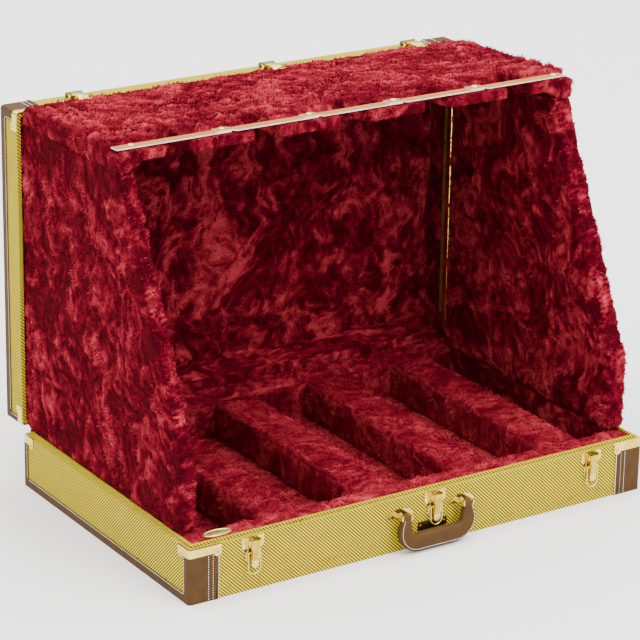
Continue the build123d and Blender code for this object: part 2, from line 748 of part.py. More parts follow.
# ---------------------------------------------------------------- rack side panels
def panel_outline(plane, back, inset):
    """The panel's side view: upright at the front, then raked back to the shelf."""
    with BuildSketch(plane) as outline:
        with BuildLine():
            Polyline(
                (PANEL_FRONT, PANEL_BOTTOM),
                (PANEL_FRONT, PANEL_KINK_Z),
                (PANEL_TOP_FRONT, PANEL_TOP),
                (back, PANEL_TOP),
                (back, PANEL_BOTTOM),
                close=True,
            )
        make_face()
        if inset:
            offset(amount=-inset, kind=Kind.INTERSECTION)
    return outline.sketch


for name, x_low, back in (
    ("left", -PANEL_IN - PANEL_T, LEFT_PANEL_BACK),
    ("right", PANEL_IN, RIGHT_PANEL_BACK),
):
    board_plane = Plane.YZ.offset(x_low + PANEL_SKIN)
    board_face = panel_outline(board_plane, back, PANEL_SKIN)
    with BuildPart() as panel_board:
        extrude(board_face, amount=PANEL_T - 2 * PANEL_SKIN)
    save(panel_board.part, f"{name}_panel_board")
    cover_face = panel_outline(Plane.YZ.offset(x_low), back, 0)
    with BuildPart() as panel_cover:
        extrude(cover_face, amount=PANEL_T)
        extrude(board_face, amount=PANEL_T - 2 * PANEL_SKIN, mode=Mode.SUBTRACT)
    save(panel_cover.part, f"{name}_panel_cover")

# ---------------------------------------------------------------- neck shelf
stud_xs = [STUD_FIRST + n * STUD_PITCH for n in range(STUDS)]
notch_xs = [(n - (NOTCHES - 1) / 2) * NOTCH_PITCH for n in range(NOTCHES)]
strap_y = SHELF_FRONT + 1.0 + STRAP_W / 2
shelf_top = SHELF_Z + SHELF_T


def shelf_outline(z, inset):
    """The shelf from above, cut by the neck notches; inset shrinks it all round."""
    depth = SHELF_BACK - SHELF_FRONT - 2 * inset
    reach = 30.0
    with BuildSketch(Plane.XY.offset(z)) as outline:
        with Locations((0, (SHELF_BACK + SHELF_FRONT) / 2)):
            Rectangle(2 * (SHELF_HALF - inset), depth)
        notch_end = SHELF_FRONT + NOTCH_DEPTH + inset
        for x in notch_xs:
            with Locations((x, notch_end - (NOTCH_DEPTH + reach) / 2)):
                RectangleRounded(
                    NOTCH_W + 2 * inset, NOTCH_DEPTH + reach, NOTCH_R + inset, mode=Mode.SUBTRACT
                )
    return outline.sketch


def stud_holes(radius=STUD_SHANK_R):
    """Holes for the stud shanks, cut from the current part."""
    with Locations([(x, strap_y, shelf_top + 10) for x in stud_xs]):
        Cylinder(
            radius,
            10 + STUD_SHANK,
            align=(Align.CENTER, Align.CENTER, Align.MAX),
            mode=Mode.SUBTRACT,
        )


board_face = shelf_outline(SHELF_Z + SHELF_SKIN, SHELF_SKIN)
with BuildPart() as shelf_board:
    extrude(board_face, amount=SHELF_T - 2 * SHELF_SKIN)
    stud_holes()
save(shelf_board.part, "shelf_board")
with BuildPart() as shelf_cover:
    extrude(shelf_outline(SHELF_Z, 0), amount=SHELF_T)
    extrude(board_face, amount=SHELF_T - 2 * SHELF_SKIN, mode=Mode.SUBTRACT)
    stud_holes()
save(shelf_cover.part, "shelf_cover")

# The neck strap is cut in lengths: each one starts on top of the last, under a stud.
strap_lap = 12.0
strap_parts = []
for number in range(STUDS - 1):
    first = number == 0
    last = number == STUDS - 2
    x0 = STRAP_START if first else stud_xs[number] - strap_lap
    x1 = STRAP_END if last else stud_xs[number + 1] + strap_lap
    lift = 0.0 if first else STRAP_T
    ramp0 = stud_xs[number] + strap_lap + 0.5
    ramp1 = ramp0 + 8.0
    with BuildPart() as length:
        with BuildSketch(Plane.XZ.offset(-(strap_y + STRAP_W / 2))) as profile:
            with BuildLine():
                if first:
                    Polyline(
                        (x0, shelf_top),
                        (x1, shelf_top),
                        (x1, shelf_top + STRAP_T),
                        (x0, shelf_top + STRAP_T),
                        close=True,
                    )
                else:
                    Polyline(
                        (x0, shelf_top + lift),
                        (ramp0, shelf_top + lift),
                        (ramp1, shelf_top),
                        (x1, shelf_top),
                        (x1, shelf_top + STRAP_T),
                        (ramp1, shelf_top + STRAP_T),
                        (ramp0, shelf_top + lift + STRAP_T),
                        (x0, shelf_top + lift + STRAP_T),
                        close=True,
                    )
            make_face()
        extrude(profile.sketch, amount=STRAP_W)
        stud_holes()
    strap_parts.append(length.part)
group("neck_strap", strap_parts)

def stud(x, seat):
    """A low domed brass stud on its shank, seated at height seat."""
    with BuildPart() as piece:
        with Locations((x, strap_y, seat)):
            Cylinder(STUD_R, STUD_H, align=(Align.CENTER, Align.CENTER, Align.MIN))
            fillet(piece.edges().group_by(Axis.Z)[-1], STUD_H * 0.85)
            shank = seat - shelf_top + STUD_SHANK
            Cylinder(STUD_SHANK_R, shank, align=(Align.CENTER, Align.CENTER, Align.MAX))
    return piece.part


seats = [shelf_top + 2 * STRAP_T] * STUDS
seats[0] = shelf_top + STRAP_T
seats[-1] = shelf_top + STRAP_T
group("strap_studs", [stud(x, seat) for x, seat in zip(stud_xs, seats)])
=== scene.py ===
import json
import math

import bmesh
import bpy
import numpy as np
from mathutils import Matrix, Vector


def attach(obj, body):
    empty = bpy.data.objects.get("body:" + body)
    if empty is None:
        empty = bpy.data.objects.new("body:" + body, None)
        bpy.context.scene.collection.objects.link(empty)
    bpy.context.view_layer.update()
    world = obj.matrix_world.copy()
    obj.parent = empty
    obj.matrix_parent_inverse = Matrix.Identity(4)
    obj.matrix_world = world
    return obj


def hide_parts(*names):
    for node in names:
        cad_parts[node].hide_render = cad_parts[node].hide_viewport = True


# Tweed hard case that opens into a plush guitar stand. Metres, in the CAD's frame:
# the front faces -Y, +Z is up, and the origin is under the middle of the base tray.
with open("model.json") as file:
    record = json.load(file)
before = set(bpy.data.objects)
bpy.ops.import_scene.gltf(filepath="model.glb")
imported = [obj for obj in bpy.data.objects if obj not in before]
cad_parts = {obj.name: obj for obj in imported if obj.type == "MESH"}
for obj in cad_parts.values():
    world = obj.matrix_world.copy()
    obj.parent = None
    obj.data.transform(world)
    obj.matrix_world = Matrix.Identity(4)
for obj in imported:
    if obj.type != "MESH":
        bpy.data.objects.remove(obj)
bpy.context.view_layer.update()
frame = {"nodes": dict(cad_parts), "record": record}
MM = 0.001


# ---------------------------------------------------------------- noise
def hashed(cell, seed):
    """A repeatable number from 0 to 1 for each whole-number cell."""
    n = cell[..., 0] * 374761393 + cell[..., 1] * 668265263 + cell[..., 2] * 2147483647
    n = (n + seed * 974634777) & 0xFFFFFFFF
    n = ((n ^ (n >> 13)) * 1274126177) & 0xFFFFFFFF
    n = ((n ^ (n >> 16)) * 2246822519) & 0xFFFFFFFF
    return ((n ^ (n >> 15)) & 0xFFFF) / 65535.0


def value_noise(points, seed):
    """Smooth noise from -1 to 1 at points measured in cells."""
    base = np.floor(points).astype(np.int64)
    part = points - base
    part = part * part * (3 - 2 * part)
    total = np.zeros(len(points))
    for corner in range(8):
        step = np.array([corner & 1, corner >> 1 & 1, corner >> 2 & 1])
        weight = np.prod(np.where(step, part, 1 - part), axis=1)
        total += weight * hashed(base + step, seed)
    return total * 2 - 1


def fractal(points, cell, octaves, seed):
    """Octaves of value noise. cell is the size of the largest feature, in metres."""
    total = np.zeros(len(points))
    gain, norm = 1.0, 0.0
    for octave in range(octaves):
        turned = points[:, [octave % 3, (octave + 1) % 3, (octave + 2) % 3]]
        total += gain * value_noise(turned / cell + 17.3 * octave, seed + octave)
        norm += gain
        gain *= 0.55
        cell *= 0.5
    return total / norm


def drift(points, cell, reach, seed):
    """Points pushed sideways by noise, which draws later noise out into swirls."""
    moved = points.copy()
    for axis in range(3):
        moved[:, axis] += reach * fractal(points, cell, 3, seed + 31 * axis)
    return moved


def combed(points, upward):
    """Points swirled and drawn out along the pile: up the sides, and along X on top."""
    moved = drift(drift(points, 0.10, 0.045, 71), 0.030, 0.013, 83)
    sides = moved * np.array([1.0, 1.0, 0.74])
    tops = moved * np.array([0.55, 1.0, 1.0])
    weight = np.clip(upward[:, None] * 2 - 0.7, 0, 1)
    return sides * (1 - weight) + tops * weight


def crushed(comb, seed, calm, tone_and_light):
    """How the pile lies, from 0, pressed flat and dark, to 1, raised and bright. It sets the pile's height and its
    colour, whose dark and bright patches are painted sheen.

    The last argument is its middle value: the plush's own tone, set lower on pieces painted as shaded and higher on
    pieces painted as lit. calm, from 0 to 1, makes the broad swirls fainter.
    """
    broad = fractal(comb, 0.030, 3, seed + 3)
    turn = fractal(comb, 0.055, 2, seed + 9)
    fine = fractal(comb, 0.0075, 2, seed + 11)
    wave = np.sin(5.5 * broad + 3.0 * turn)
    small = fractal(comb, 0.016, 2, seed + 29)
    wild = 1 - 0.62 * calm
    quiet = 1 - 0.35 * calm
    return np.clip(tone_and_light + 0.27 * wild * wave + quiet * (0.35 * small + 0.60 * fine), 0, 1)


# ---------------------------------------------------------------- mesh helpers
def new_object(name, verts, faces):
    mesh = bpy.data.meshes.new(name)
    mesh.from_pydata([tuple(v) for v in verts], [], [tuple(f) for f in faces])
    mesh.validate()
    obj = bpy.data.objects.new(name, mesh)
    bpy.context.scene.collection.objects.link(obj)
    return obj


def bare(obj):
    """The object's mesh with its modifiers applied, in place."""
    deps = bpy.context.evaluated_depsgraph_get()
    done = bpy.data.meshes.new_from_object(obj.evaluated_get(deps))
    obj.modifiers.clear()
    obj.data = done
    return obj


def coords(mesh):
    co = np.zeros(len(mesh.vertices) * 3, np.float32)
    mesh.vertices.foreach_get("co", co)
    return co.reshape(-1, 3).astype(float)


def set_coords(mesh, co):
    mesh.vertices.foreach_set("co", co.astype(np.float32).ravel())
    mesh.update()


def normals(mesh):
    no = np.zeros(len(mesh.vertices) * 3, np.float32)
    mesh.vertices.foreach_get("normal", no)
    return no.reshape(-1, 3).astype(float)


def smooth_shade(mesh):
    mesh.polygons.foreach_set("use_smooth", [True] * len(mesh.polygons))


def outer_copy(name, node):
    """A copy of a CAD node without the shells sealed inside its solids."""
    mesh = frame["nodes"][node].data.copy()
    bm = bmesh.new()
    bm.from_mesh(mesh)
    bmesh.ops.remove_doubles(bm, verts=bm.verts, dist=1e-6)
    left = set(bm.faces)
    shells = []
    while left:
        stack = [left.pop()]
        shell = list(stack)
        while stack:
            for edge in stack.pop().edges:
                for face in edge.link_faces:
                    if face in left:
                        left.remove(face)
                        stack.append(face)
                        shell.append(face)
        co = np.array([v.co[:] for f in shell for v in f.verts])
        shells.append((shell, co.min(0), co.max(0)))
    sealed = [
        s[0]
        for s in shells
        if any((o[1] < s[1]).all() and (o[2] > s[2]).all() for o in shells if o is not s)
    ]
    bmesh.ops.delete(bm, geom=[f for s in sealed for f in s], context="FACES")
    bm.to_mesh(mesh)
    bm.free()
    mesh.name = name
    mesh.materials.clear()
    obj = bpy.data.objects.new(name, mesh)
    bpy.context.scene.collection.objects.link(obj)
    return obj


def remeshed(obj, voxel, rounds):
    """The object as an even skin of small quads with softened edges."""
    voxels = obj.modifiers.new("skin", "REMESH")
    voxels.mode = "VOXEL"
    voxels.voxel_size = voxel
    soften = obj.modifiers.new("soften", "SMOOTH")
    soften.factor = 0.5
    soften.iterations = rounds
    return bare(obj)


# ---------------------------------------------------------------- material helpers
def material(name):
    mat = bpy.data.materials.new(name)
    mat.use_nodes = True
    tree = mat.node_tree
    shader = tree.nodes["Principled BSDF"]
    return mat, tree, shader


def object_coords(tree):
    return tree.nodes.new("ShaderNodeTexCoord").outputs["Object"]


def noise_tex(tree, vector, scale, detail=4.0, rough=0.55, distortion=0.0):
    tex = tree.nodes.new("ShaderNodeTexNoise")
    tex.inputs["Scale"].default_value = scale
    tex.inputs["Detail"].default_value = detail
    tex.inputs["Roughness"].default_value = rough
    tex.inputs["Distortion"].default_value = distortion
    tree.links.new(vector, tex.inputs["Vector"])
    return tex.outputs["Fac"]


def ramp(tree, value, stops):
    made = tree.nodes.new("ShaderNodeValToRGB")
    elements = made.color_ramp.elements
    while len(elements) < len(stops):
        elements.new(0.5)
    for element, (place, colour) in zip(elements, stops):
        element.position = place
        element.color = (*colour, 1)
    tree.links.new(value, made.inputs["Fac"])
    return made.outputs["Color"]


def maths(tree, operation, a, b=None, clamp=False):
    made = tree.nodes.new("ShaderNodeMath")
    made.operation = operation
    made.use_clamp = clamp
    for socket, value in zip(made.inputs, (a, b)):
        if value is None:
            continue
        if isinstance(value, (int, float)):
            socket.default_value = value
        else:
            tree.links.new(value, socket)
    return made.outputs[0]


def bump(tree, shader, height, strength, distance):
    made = tree.nodes.new("ShaderNodeBump")
    made.inputs["Strength"].default_value = strength
    made.inputs["Distance"].default_value = distance
    tree.links.new(height, made.inputs["Height"])
    tree.links.new(made.outputs["Normal"], shader.inputs["Normal"])


def stretched(tree, vector, scale):
    made = tree.nodes.new("ShaderNodeMapping")
    made.inputs["Scale"].default_value = scale
    tree.links.new(vector, made.inputs["Vector"])
    return made.outputs["Vector"]


# ---------------------------------------------------------------- materials
def plush_material():
    """Crushed red plush. The pieces carry how the pile lies, whose light and dark patches are painted sheen, and comb,
    its swirls.
    """
    mat, tree, shader = material("red_plush")
    nap_and_sheen = tree.nodes.new("ShaderNodeAttribute")
    nap_and_sheen.attribute_name = "nap_and_sheen"
    comb = tree.nodes.new("ShaderNodeAttribute")
    comb.attribute_name = "comb"
    place = comb.outputs["Vector"]
    fibre = noise_tex(tree, place, 330.0, 3.0, 0.7, 0.6)
    strand = noise_tex(tree, object_coords(tree), 900.0, 2.0, 0.6)
    level = maths(tree, "MULTIPLY", maths(tree, "SUBTRACT", fibre, 0.5), 1.15)
    fuzz = maths(tree, "MULTIPLY", maths(tree, "SUBTRACT", strand, 0.5), 0.4)
    level = maths(tree, "ADD", level, fuzz)
    # The pile's lie sets the colour here: its light and dark patches are painted sheen of the crushed pile.
    level = maths(tree, "ADD", nap_and_sheen.outputs["Fac"], level, clamp=True)
    colour = ramp(
        tree,
        level,
        [
            (0.00, (0.026, 0.0004, 0.0022)),
            (0.25, (0.052, 0.0009, 0.0050)),
            (0.50, (0.105, 0.0024, 0.0095)),
            (0.75, (0.195, 0.0100, 0.0185)),
            (1.00, (0.320, 0.0290, 0.0390)),
        ],
    )
    tree.links.new(colour, shader.inputs["Base Color"])
    shader.inputs["Roughness"].default_value = 0.95
    shader.inputs["Specular IOR Level"].default_value = 0.02
    shader.inputs["Sheen Weight"].default_value = 0.12
    shader.inputs["Sheen Roughness"].default_value = 0.5
    shader.inputs["Sheen Tint"].default_value = (1.0, 0.03, 0.06, 1)
    bump(tree, shader, level, 0.9, 1.8 * MM)
    return mat


def tweed_material():
    """Diagonal twill: pale yellow ribs between brown-gold valleys, broken by the weft."""
    mat, tree, shader = material("gold_tweed")
    place = object_coords(tree)
    split = tree.nodes.new("ShaderNodeSeparateXYZ")
    tree.links.new(place, split.inputs[0])
    x, y, z = split.outputs
    rib_pitch, weft_pitch = 5.4 * MM, 2.1 * MM
    along = maths(tree, "ADD", maths(tree, "ADD", x, y), z)
    across = maths(tree, "ADD", maths(tree, "SUBTRACT", x, y), maths(tree, "MULTIPLY", z, -1.0))
    wobble = noise_tex(tree, place, 260.0, 2.0)
    along = maths(tree, "ADD", along, maths(tree, "MULTIPLY", wobble, 0.5 * MM))
    rib = maths(tree, "SINE", maths(tree, "MULTIPLY", along, 2 * math.pi / rib_pitch))
    weft = maths(tree, "SINE", maths(tree, "MULTIPLY", across, 2 * math.pi / weft_pitch))
    rib = maths(tree, "MULTIPLY_ADD", rib, 0.5)
    tree.nodes[-1].inputs[2].default_value = 0.5
    weave = maths(tree, "ADD", rib, maths(tree, "MULTIPLY", weft, 0.05))
    patch = noise_tex(tree, place, 45.0, 3.0)
    weave = maths(tree, "ADD", weave, maths(tree, "MULTIPLY", maths(tree, "SUBTRACT", patch, 0.5), 0.18))
    colour = ramp(
        tree,
        weave,
        [
            (0.12, (0.068, 0.036, 0.0025)),
            (0.40, (0.150, 0.092, 0.0035)),
            (0.62, (0.400, 0.290, 0.0060)),
            (0.92, (0.700, 0.560, 0.0130)),
        ],
    )
    tree.links.new(colour, shader.inputs["Base Color"])
    shader.inputs["Roughness"].default_value = 0.7
    shader.inputs["Specular IOR Level"].default_value = 0.10
    bump(tree, shader, weave, 0.6, 0.5 * MM)
    return mat


def leather_material(name, dark, light, rough=0.5):
    mat, tree, shader = material(name)
    place = object_coords(tree)
    cells = tree.nodes.new("ShaderNodeTexVoronoi")
    cells.inputs["Scale"].default_value = 900.0
    tree.links.new(place, cells.inputs["Vector"])
    cloud = noise_tex(tree, place, 60.0, 4.0)
    grain = maths(tree, "ADD", maths(tree, "MULTIPLY", cells.outputs["Distance"], 0.5), cloud)
    tree.links.new(ramp(tree, grain, [(0.35, dark), (0.85, light)]), shader.inputs["Base Color"])
    shader.inputs["Roughness"].default_value = rough
    shader.inputs["Specular IOR Level"].default_value = 0.05
    bump(tree, shader, grain, 0.25, 0.3 * MM)
    return mat


def strap_material():
    mat, tree, shader = material("tan_strap")
    place = object_coords(tree)
    cloud = noise_tex(tree, place, 90.0, 4.0, 0.6, 0.4)
    tan = ramp(tree, cloud, [(0.3, (0.270, 0.088, 0.012)), (0.7, (0.380, 0.150, 0.028))])
    tree.links.new(tan, shader.inputs["Base Color"])
    shader.inputs["Roughness"].default_value = 0.55
    shader.inputs["Specular IOR Level"].default_value = 0.2
    bump(tree, shader, noise_tex(tree, place, 700.0, 2.0), 0.15, 0.2 * MM)
    return mat


def cut_edge_material():
    """The pale raw edge of cut strap leather."""
    mat, tree, shader = material("pale_cut_edge")
    layers = noise_tex(tree, stretched(tree, object_coords(tree), (60.0, 60.0, 900.0)), 1.0, 3.0)
    pale = ramp(tree, layers, [(0.3, (0.48, 0.38, 0.27)), (0.7, (0.74, 0.68, 0.58))])
    tree.links.new(pale, shader.inputs["Base Color"])
    shader.inputs["Roughness"].default_value = 0.8
    shader.inputs["Specular IOR Level"].default_value = 0.1
    return mat


def metal_material(name, dark, light, rough):
    mat, tree, shader = material(name)
    place = object_coords(tree)
    haze = noise_tex(tree, place, 55.0, 3.0)
    tree.links.new(ramp(tree, haze, [(0.3, dark), (0.7, light)]), shader.inputs["Base Color"])
    shader.inputs["Metallic"].default_value = 1.0
    rubbed = noise_tex(tree, stretched(tree, place, (300.0, 60.0, 60.0)), 3.0, 3.0)
    span = maths(tree, "MULTIPLY_ADD", rubbed, 0.16)
    tree.nodes[-1].inputs[2].default_value = rough - 0.05
    tree.links.new(span, shader.inputs["Roughness"])
    bump(tree, shader, rubbed, 0.08, 0.1 * MM)
    return mat


def thread_material():
    mat, tree, shader = material("pale_thread")
    place = object_coords(tree)
    twist = noise_tex(tree, place, 1500.0, 2.0)
    tree.links.new(
        ramp(tree, twist, [(0.3, (0.66, 0.60, 0.52)), (0.7, (0.90, 0.87, 0.82))]),
        shader.inputs["Base Color"],
    )
    shader.inputs["Roughness"].default_value = 0.7
    return mat


PLUSH = plush_material()
TWEED = tweed_material()
LEATHER = leather_material("brown_leather", (0.046, 0.0215, 0.0072), (0.070, 0.0345, 0.0122))
STRAP = strap_material()
CUT_EDGE = cut_edge_material()
BRASS = metal_material("pale_brass", (0.62, 0.44, 0.070), (0.83, 0.66, 0.165), 0.20)
LEVER_BRASS = metal_material("yellow_brass", (0.42, 0.28, 0.022), (0.62, 0.44, 0.060), 0.16)
SATIN_BRASS = metal_material("satin_brass", (0.68, 0.50, 0.115), (0.84, 0.68, 0.230), 0.42)
DARK_BRASS = metal_material("dark_brass", (0.075, 0.050, 0.012), (0.150, 0.105, 0.028), 0.30)
THREAD = thread_material()
# A darker olive copy of the trays' cloth: painted shade for the panels' inside binding.
BINDING_IN_SHADE = leather_material("olive_binding_in_shade", (0.085, 0.060, 0.010), (0.150, 0.110, 0.020))


def paint(obj, mat):
    obj.data.materials.clear()
    obj.data.materials.append(mat)


# ---------------------------------------------------------------- plush pieces
SKIN_VOXEL = 3.6 * MM
TUFT_LENGTH = 6.5 * MM
TUFT_WIDTH = 1.3 * MM
TUFT_DENSITY = 45000      # tufts in a square metre
BADGE_X = -337.0
BADGE_Y = -216.0


def ease(value, low, high):
    """0 below low, 1 above high, and smooth between."""
    part = np.clip((value - low) / (high - low), 0, 1)
    return part * part * (3 - 2 * part)


def unit(vectors):
    return vectors / np.maximum(np.linalg.norm(vectors, axis=1), 1e-9)[:, None]


def tufts(name, mesh, stand, seed, calm, tone_and_light):
    """Leaning blades of pile over a skin. stand scales their length at each vertex."""
    rng = np.random.default_rng(seed)
    mesh.calc_loop_triangles()
    tri = np.zeros(len(mesh.loop_triangles) * 3, np.int32)
    mesh.loop_triangles.foreach_get("vertices", tri)
    tri = tri.reshape(-1, 3)
    co, no = coords(mesh), normals(mesh)
    corner = co[tri]
    area = np.linalg.norm(np.cross(corner[:, 1] - corner[:, 0], corner[:, 2] - corner[:, 0]), axis=1) / 2
    area = area * np.clip(stand[tri].mean(1) * 1.5, 0, 1)
    count = int(area.sum() * TUFT_DENSITY)
    pick = rng.choice(len(tri), count, p=area / area.sum())
    mixes = rng.dirichlet((1, 1, 1), count)[:, :, None]
    root = (corner[pick] * mixes).sum(1)
    normal = unit((no[tri][pick] * mixes).sum(1))
    comb = combed(root, normal[:, 2])
    nap_and_sheen = crushed(comb, seed, calm, tone_and_light)
    swirl = np.stack([fractal(comb, 0.03, 2, 200 + k) for k in range(3)], 1)
    lean = swirl * 2.4 + rng.normal(0, 0.35, (count, 3)) - np.array([0, 0, 0.25])
    lean = lean - normal * (lean * normal).sum(1)[:, None]
    length = TUFT_LENGTH * rng.uniform(0.55, 1.0, count) * (stand[tri][pick] * mixes[:, :, 0]).sum(1)
    length = length[:, None]
    rise = 0.35 + 0.5 * nap_and_sheen[:, None]
    side = unit(np.cross(lean, normal)) * (TUFT_WIDTH / 2) * rng.uniform(0.7, 1.3, (count, 1))
    middle = root + (normal * rise + unit(lean) * 0.35) * length * 0.55
    tip = root + (normal * rise * 0.9 + unit(lean) * 0.85) * length
    sunk = root - normal * 0.6 * MM
    verts = np.stack([sunk - side, sunk + side, middle - side * 0.8, middle + side * 0.8, tip], 1)
    blades = bpy.data.meshes.new(name)
    blades.vertices.add(count * 5)
    blades.vertices.foreach_set("co", verts.astype(np.float32).ravel())
    base = np.arange(count)[:, None] * 5
    loops = np.concatenate([base + np.array([0, 1, 3, 2]), base + np.array([2, 3, 4])], 1)
    blades.loops.add(count * 7)
    blades.loops.foreach_set("vertex_index", loops.astype(np.int32).ravel())
    starts = np.arange(count)[:, None] * 7 + np.array([0, 4])
    blades.polygons.add(count * 2)
    blades.polygons.foreach_set("loop_start", starts.astype(np.int32).ravel())
    blades.update(calc_edges=True)
    level = nap_and_sheen + rng.normal(0, 0.10, count)
    # Each blade is darker at its root as painted shade and lighter at its tip as a painted highlight.
    levels_root_shade_tip_highlight = np.stack([level - 0.22, level - 0.22, level, level, level + 0.16], 1)
    mark(blades, np.clip(levels_root_shade_tip_highlight, 0, 1).ravel(), np.repeat(comb, 5, axis=0))
    return blades


def mark(mesh, nap_and_sheen, comb):
    attribute = mesh.attributes.new("nap_and_sheen", "FLOAT", "POINT")
    attribute.data.foreach_set("value", nap_and_sheen.astype(np.float32))
    attribute = mesh.attributes.new("comb", "FLOAT_VECTOR", "POINT")
    attribute.data.foreach_set("vector", comb.astype(np.float32).ravel())


def even(points, facing):
    return np.ones(len(points))


def plush(
    name,
    cad_nodes,
    body,
    seed,
    pile=3.0,
    swing=2.4,
    press=even,
    source=None,
    shape=None,
    calm=0.0,
    tone_and_light=0.44,
):
    """A padded piece: the CAD node's outer shape with softened edges and crushed pile.

    pile and swing are in millimetres. press scales the pile's height from place to place,
    and shape moves the skin's points before the pile is raised.
    """
    obj = remeshed(source or outer_copy(name, cad_nodes[0]), SKIN_VOXEL, 5)
    mesh = obj.data
    if shape:
        set_coords(mesh, shape(coords(mesh)))
    co, no = coords(mesh), normals(mesh)
    comb = combed(co, no[:, 2])
    nap_and_sheen = crushed(comb, seed, calm, tone_and_light)
    stand = press(co, no)
    lift = (pile + swing * (2 * nap_and_sheen - 1)) * MM * stand
    lift += 0.8 * MM * fractal(co, 0.006, 2, seed + 19) * np.clip(stand, 0, 1)
    set_coords(mesh, co + no * lift[:, None])
    mark(mesh, nap_and_sheen, comb)
    smooth_shade(mesh)
    blades = tufts(name + "_tufts", mesh, np.clip(stand, 0, 1.4), seed, calm, tone_and_light)
    bm = bmesh.new()
    bm.from_mesh(mesh)
    bm.from_mesh(blades)
    bm.to_mesh(mesh)
    bm.free()
    bpy.data.meshes.remove(blades)
    paint(obj, PLUSH)
    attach(obj, body)
    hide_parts(*cad_nodes)
    return obj


def panel_press(points, facing):
    """Flat where a panel meets its hinge and the shelf, low where it passes over the rim."""
    stand = 1 - 0.75 * ease(facing[:, 1], 0.3, 0.8)
    stand *= 1 - 0.8 * ease(-facing[:, 2], 0.3, 0.8)
    stand *= 1 - 0.6 * ease(facing[:, 2], 0.5, 0.9)
    return stand * (0.35 + 0.65 * ease(points[:, 2], 0.088, 0.100))


def lining_press(points, facing):
    """The lining's lower flap is flat, because the folded panels lie against it."""
    return 0.15 + 0.85 * ease(points[:, 2], 0.112, 0.130)


def fuller_outside(points):
    """The right panel's outer side is fuller, since nothing folds against it."""
    moved = points.copy()
    moved[:, 0] += 4.0 * MM * ease(points[:, 0], 0.376, 0.390)
    return moved


SHELF_SWELL = 10.5


def to_front(points):
    """0 at the shelf's hinge and 1 at its front edge."""
    return np.clip((0.246 - points[:, 1]) / 0.286, 0, 1)


def swollen(points):
    """The shelf's padding swells up to the front, and between its ends the underside follows."""
    height = points[:, 2]
    share = (height - height.min()) / (height.max() - height.min())
    inner = 1 - ease(np.abs(points[:, 0]), 0.350, 0.384)
    rise = share * SHELF_SWELL + (1 - share) * 13.5 * inner
    moved = fuller_outside(points)
    moved[:, 2] += rise * MM * to_front(points)
    return moved


def raised_with_shelf(obj):
    """A piece that lies on the shelf goes up with its padding."""
    points = coords(obj.data)
    points[:, 2] += SHELF_SWELL * MM * to_front(points)
    set_coords(obj.data, points)


def shelf_press(points, facing):
    """Deep pile along the front, thinner to the back, and flat under the strap."""
    y = points[:, 1] / MM
    on_top = ease(facing[:, 2], 0.2, 0.7)
    depth = 1.0 + 1.0 * (1 - ease(y, -20, 230))
    from_strap = np.maximum(-38 - y, y + 17)
    pressed = ease(from_strap, -1.0, 9.0)
    stand = 1 - on_top + on_top * depth * pressed
    stand *= 1 - 0.85 * ease(facing[:, 1], 0.3, 0.8) * ease(y, 200, 230)
    inner = 1 - ease(np.abs(points[:, 0]), 0.36, 0.385)
    return stand * (1 - 0.7 * inner * ease(-facing[:, 2], 0.3, 0.8))


def base_press(points, facing):
    """Pile stands on top and on the free sides, and is flat underneath and below the badge."""
    around = np.hypot((points[:, 0] / MM - BADGE_X) / 25, (points[:, 1] / MM - BADGE_Y) / 12)
    stand = 1 - 0.9 * ease(-facing[:, 2], 0.3, 0.8)
    return stand * (0.1 + 0.9 * ease(around, 0.95, 1.5))


def prism(name, outline, left, right):
    """A closed outline of (y, z) in millimetres, drawn out from left to right along X."""
    n = len(outline)
    verts = [(x * MM, y * MM, z * MM) for x in (left, right) for y, z in outline]
    faces = [list(range(n))[::-1], [n + k for k in range(n)]]
    faces += [(k, (k + 1) % n, n + (k + 1) % n, n + k) for k in range(n)]
    return new_object(name, verts, faces)


def joined(objs):
    """Several loose meshes as one object, the first."""
    bm = bmesh.new()
    for obj in objs:
        bm.from_mesh(obj.data)
    bmesh.ops.recalc_face_normals(bm, faces=bm.faces)
    bm.to_mesh(objs[0].data)
    bm.free()
    for obj in objs[1:]:
        bpy.data.objects.remove(obj)
    return objs[0]


# The lid's lining: the back, then forward over the lid's lower wall, and down over the gap.
lining_back = prism(
    "lid_lining_plush", [(288.5, 581), (296.4, 581), (296.4, 103), (288.5, 103)], -391.0, 391.0
)
lining_sill = prism(
    "lining_sill",
    [
        (292.0, 128),
        (292.0, 103),
        (252.3, 103),
        (252.3, 86.5),
        (247.6, 86.5),
        (247.4, 107),
        (252.0, 111),
        (278.0, 113),
        (286.0, 119),
    ],
    -364.0,
    364.0,
)
lining_corner = prism("lining_corner", [(246.9, 87.5), (252.3, 87.5), (252.3, 104), (246.9, 104)], 359.0, 391.0)

# The back liner's cloth runs on over the back rim, so no board shows between the trays.
back_block = outer_copy("back_liner_plush", "back_liner")
back_fold = prism(
    "back_fold",
    [(229, 74), (229, 85.5), (234, 90.5), (243, 91.8), (246.8, 91), (247.2, 88), (247, 84.6), (238, 80)],
    -364.0,
    364.0,
)
back_corners = [
    prism("back_corner", [(236, 78), (236, 88), (240, 90.5), (247.2, 90.5), (247.2, 84.6), (243, 80)], *ends)
    for ends in ((-391.0, -360.0), (360.0, 391.0))
]

